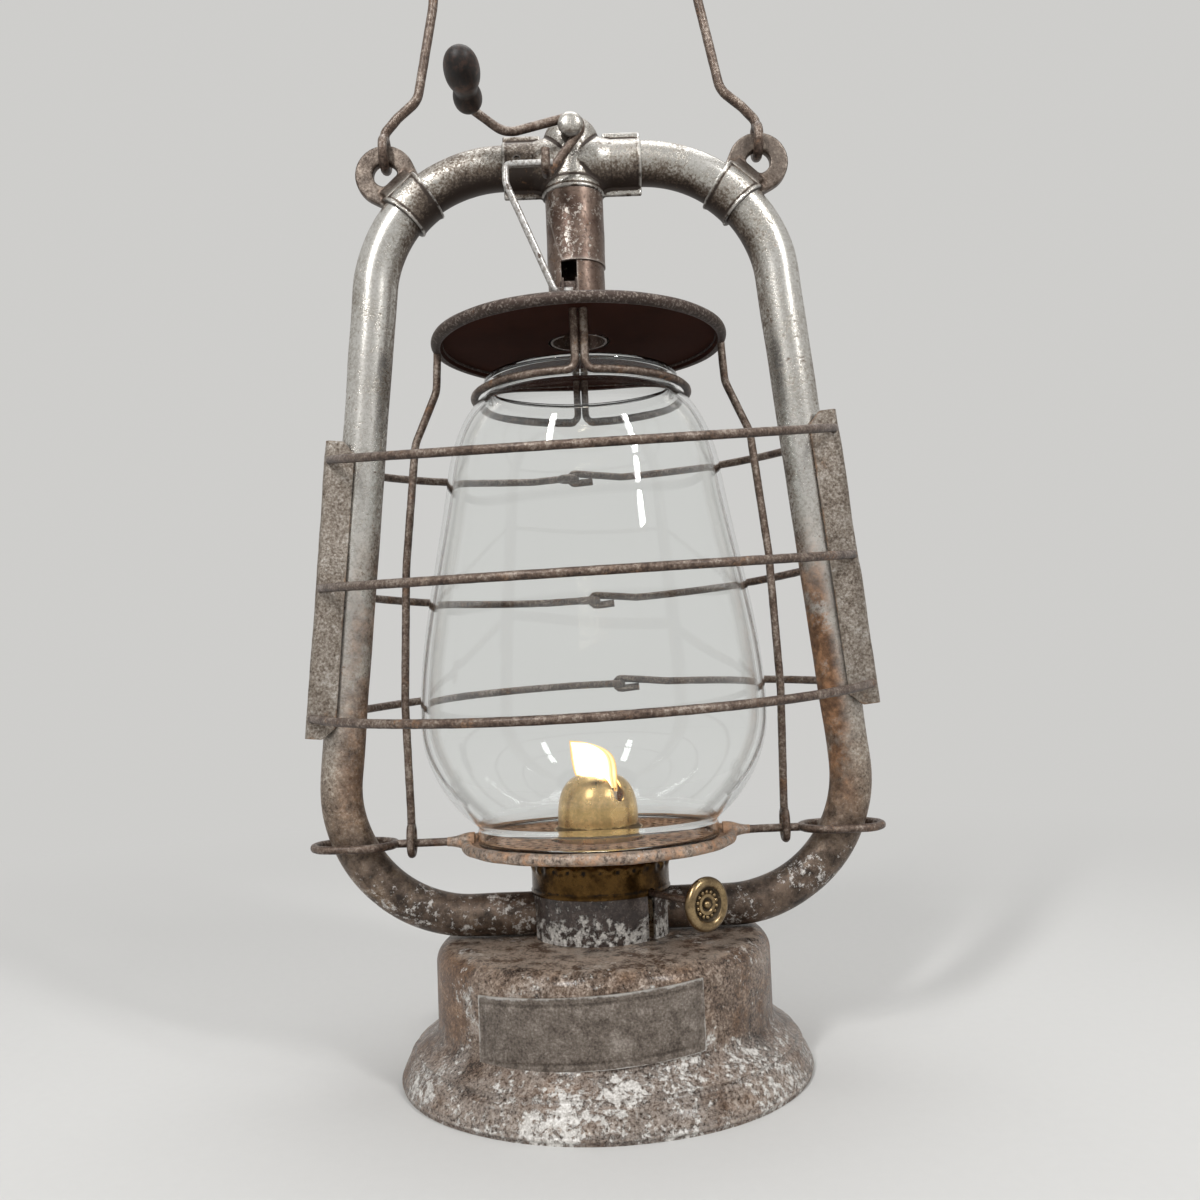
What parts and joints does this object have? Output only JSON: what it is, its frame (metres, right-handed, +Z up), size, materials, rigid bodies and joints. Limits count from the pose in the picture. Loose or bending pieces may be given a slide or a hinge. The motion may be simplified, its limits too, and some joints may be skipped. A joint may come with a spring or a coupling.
{
  "type": "hurricane lantern",
  "caption": "Flat-wick oil lantern with side air tubes, a glass globe in a wire guard, a crank that lifts the globe, a wick knob and a wire bail.",
  "frame": {"origin": "on the table under the middle of the base", "axes": "+Z up along the chimney, -Y towards the front with the blank plate, +X to the right seen from the front"},
  "size_m": [0.2038, 0.1429, 0.4736],
  "materials": {
    "tinned_steel": "worn tinned steel, pitted, with rust spots",
    "fount_steel": "brown patina with pale flaking tin",
    "rusted_steel": "dark brown rust",
    "rusted_wire": "dark brown rusted wire",
    "aged_brass": "aged brass",
    "clear_glass": "clear blown glass",
    "grip_wood": "blackened wood, worn smooth",
    "wick_cotton": "woven cotton, charred at the tip",
    "seal_leather": "oiled leather washer"
  },
  "bodies": {
    "frame": {"fount_shell": "fount_steel", "fount_bottom": "fount_steel", "blank_plate": "fount_steel", "filler_neck": "fount_steel", "burner_collar": "rusted_steel", "burner_ring": "aged_brass", "burner_cone": "aged_brass", "wick_tube": "aged_brass", "left_tube": "tinned_steel", "right_tube": "tinned_steel", "tee_front": "tinned_steel", "tee_rear": "tinned_steel", "chimney_tube": "rusted_steel", "left_ear": "tinned_steel", "right_ear": "tinned_steel", "crank_pin": "tinned_steel", "left_guard_plate": "rusted_steel", "right_guard_plate": "rusted_steel", "guard_wire_upper": "rusted_wire", "guard_wire_middle": "rusted_wire", "guard_wire_lower": "rusted_wire"},
    "carriage": {"hood": "rusted_steel", "rod_bracket": "rusted_steel", "lift_rod": "rusted_wire", "left_globe_ring": "rusted_wire", "right_globe_ring": "rusted_wire", "left_side_wire": "rusted_wire", "right_side_wire": "rusted_wire", "globe": "clear_glass", "globe_plate": "rusted_steel", "left_guide_loop": "rusted_wire", "right_guide_loop": "rusted_wire"},
    "crank": {"lift_crank": "rusted_wire"},
    "grip": {"crank_grip": "grip_wood"},
    "bail": {"bail": "rusted_wire"},
    "wick_drive": {"wick_shaft": "rusted_wire", "wick_knob": "aged_brass"},
    "wick": {"wick": "wick_cotton"},
    "cap_seal": {"filler_seal": "seal_leather"},
    "cap": {"filler_cap": "fount_steel"}
  },
  "joints": [
    {"name": "globe_lift", "type": "slide", "parent": "frame", "child": "carriage", "axis": [0, 0, 1], "range_m": [0, 0.02663]},
    {"name": "crank_turn", "type": "hinge", "parent": "frame", "child": "crank", "pos_m": [0, -0.0159, 0.326], "axis": [0, 1, 0], "range_deg": [0, 90]},
    {"name": "grip_spin", "type": "hinge", "parent": "crank", "child": "grip", "pos_m": [-0.035, -0.036, 0.3342], "axis": [0, 1, 0], "continuous": true},
    {"name": "bail_swing", "type": "hinge", "parent": "frame", "child": "bail", "pos_m": [0, 0, 0.32584], "axis": [1, 0, 0], "range_deg": [-125, 125]},
    {"name": "wick_knob_turn", "type": "hinge", "parent": "frame", "child": "wick_drive", "pos_m": [0.00291, 0.00212, 0.0605], "axis": [0.5878, -0.809, 0], "range_deg": [-120, 120]},
    {"name": "wick_rise", "type": "slide", "parent": "frame", "child": "wick", "axis": [0, 0, 1], "range_m": [-0.0058, 0.0058]},
    {"name": "cap_rise", "type": "slide", "parent": "frame", "child": "cap_seal", "axis": [0, 0, 1], "range_m": [0, 0.00605]},
    {"name": "cap_turn", "type": "hinge", "parent": "cap_seal", "child": "cap", "pos_m": [-0.01875, 0.03248, 0.05], "axis": [0, 0, 1], "range_deg": [0, 720]}
  ],
  "couplings": [
    {"joint": "crank_turn", "follows": "globe_lift", "rad_per_m": 58.98},
    {"joint": "wick_rise", "follows": "wick_knob_turn", "m_per_rad": -0.00275},
    {"joint": "cap_rise", "follows": "cap_turn", "m_per_rad": 0.00047746}
  ]
}
